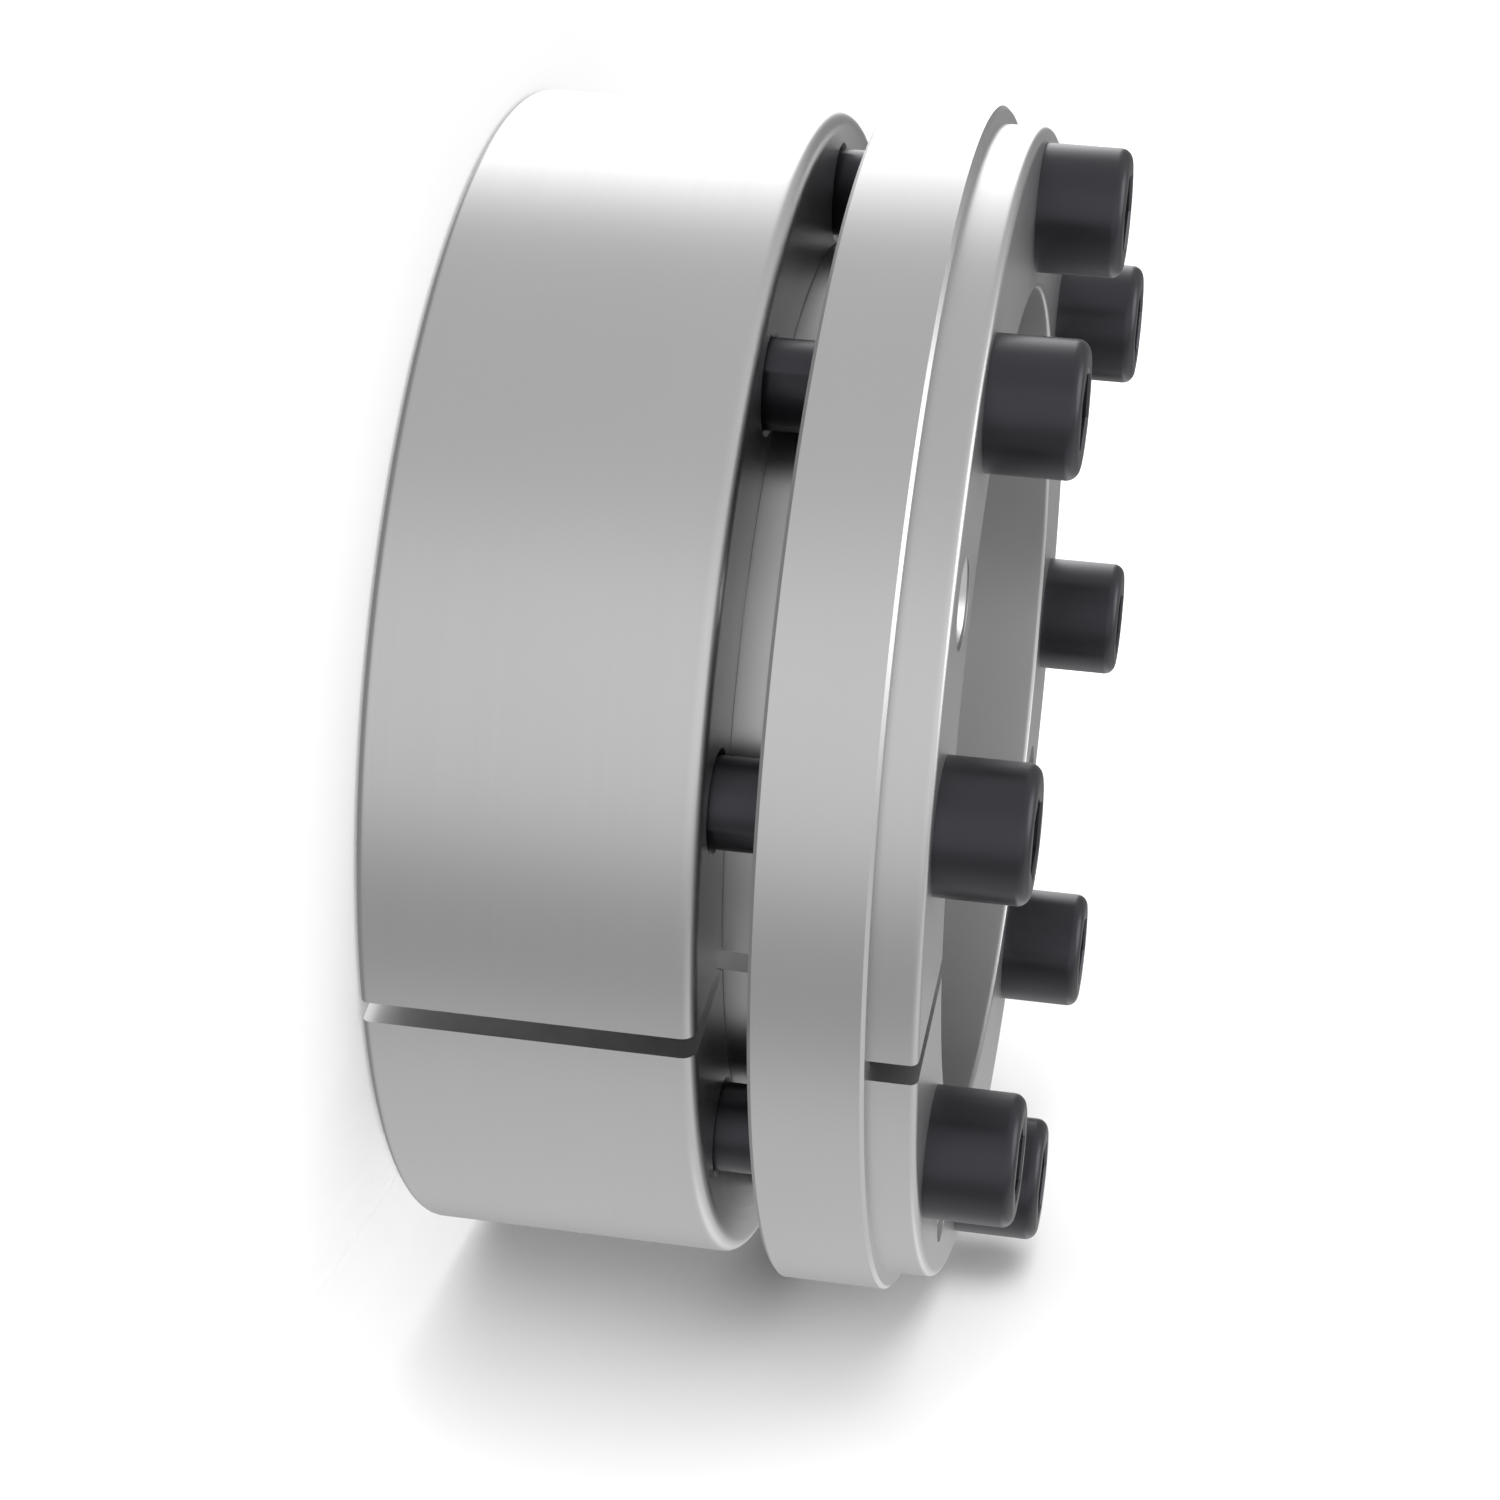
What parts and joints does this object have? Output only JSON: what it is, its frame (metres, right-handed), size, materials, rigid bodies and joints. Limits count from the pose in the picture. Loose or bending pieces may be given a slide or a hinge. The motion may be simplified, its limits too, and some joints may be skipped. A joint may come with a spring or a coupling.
{
  "type": "keyless locking assembly",
  "caption": "Keyless locking assembly: slit tapered rings drawn together by socket head screws to clamp a hub on a plain shaft, with a flange and a spacer ring.",
  "frame": {"origin": "on the bore axis, at the outer ring's plain back face, on which the part stands", "axes": "+Z along the bore axis towards the screw heads; -Y through the slit"},
  "size_m": [0.17, 0.17, 0.0846],
  "materials": {
    "ring_steel": "bright turned steel, satin, with a thin film of oil",
    "screw_steel": "blackened high-strength steel, smooth and slightly glossy"
  },
  "bodies": {
    "outer_ring": {"outer_ring": "ring_steel"},
    "inner_ring": {"inner_ring": "ring_steel", "spacer_ring": "ring_steel"},
    "screw_1": {"locking_screw_1": "screw_steel"},
    "screw_2": {"locking_screw_2": "screw_steel"},
    "screw_3": {"locking_screw_3": "screw_steel"},
    "screw_4": {"locking_screw_4": "screw_steel"},
    "screw_5": {"locking_screw_5": "screw_steel"},
    "screw_6": {"locking_screw_6": "screw_steel"},
    "screw_7": {"locking_screw_7": "screw_steel"},
    "screw_8": {"locking_screw_8": "screw_steel"}
  },
  "joints": [
    {"name": "draw_up", "type": "slide", "parent": "outer_ring", "child": "inner_ring", "axis": [0, 0, -1], "range_m": [0, 0.0025]},
    {"name": "screw_1_turn", "type": "hinge", "parent": "inner_ring", "child": "screw_1", "pos_m": [0.02736, -0.06606, 0.0726], "axis": [0, 0, -1], "range_deg": [0, 514.3]},
    {"name": "screw_2_turn", "type": "hinge", "parent": "inner_ring", "child": "screw_2", "pos_m": [0.06606, -0.02736, 0.0726], "axis": [0, 0, -1], "range_deg": [0, 514.3]},
    {"name": "screw_3_turn", "type": "hinge", "parent": "inner_ring", "child": "screw_3", "pos_m": [0.06606, 0.02736, 0.0726], "axis": [0, 0, -1], "range_deg": [0, 514.3]},
    {"name": "screw_4_turn", "type": "hinge", "parent": "inner_ring", "child": "screw_4", "pos_m": [0.02736, 0.06606, 0.0726], "axis": [0, 0, -1], "range_deg": [0, 514.3]},
    {"name": "screw_5_turn", "type": "hinge", "parent": "inner_ring", "child": "screw_5", "pos_m": [-0.02736, 0.06606, 0.0726], "axis": [0, 0, -1], "range_deg": [0, 514.3]},
    {"name": "screw_6_turn", "type": "hinge", "parent": "inner_ring", "child": "screw_6", "pos_m": [-0.06606, 0.02736, 0.0726], "axis": [0, 0, -1], "range_deg": [0, 514.3]},
    {"name": "screw_7_turn", "type": "hinge", "parent": "inner_ring", "child": "screw_7", "pos_m": [-0.06606, -0.02736, 0.0726], "axis": [0, 0, -1], "range_deg": [0, 514.3]},
    {"name": "screw_8_turn", "type": "hinge", "parent": "inner_ring", "child": "screw_8", "pos_m": [-0.02736, -0.06606, 0.0726], "axis": [0, 0, -1], "range_deg": [0, 514.3]}
  ],
  "couplings": [
    {"joint": "screw_1_turn", "follows": "draw_up", "rad_per_m": 3590.4},
    {"joint": "screw_2_turn", "follows": "draw_up", "rad_per_m": 3590.4},
    {"joint": "screw_3_turn", "follows": "draw_up", "rad_per_m": 3590.4},
    {"joint": "screw_4_turn", "follows": "draw_up", "rad_per_m": 3590.4},
    {"joint": "screw_5_turn", "follows": "draw_up", "rad_per_m": 3590.4},
    {"joint": "screw_6_turn", "follows": "draw_up", "rad_per_m": 3590.4},
    {"joint": "screw_7_turn", "follows": "draw_up", "rad_per_m": 3590.4},
    {"joint": "screw_8_turn", "follows": "draw_up", "rad_per_m": 3590.4}
  ]
}
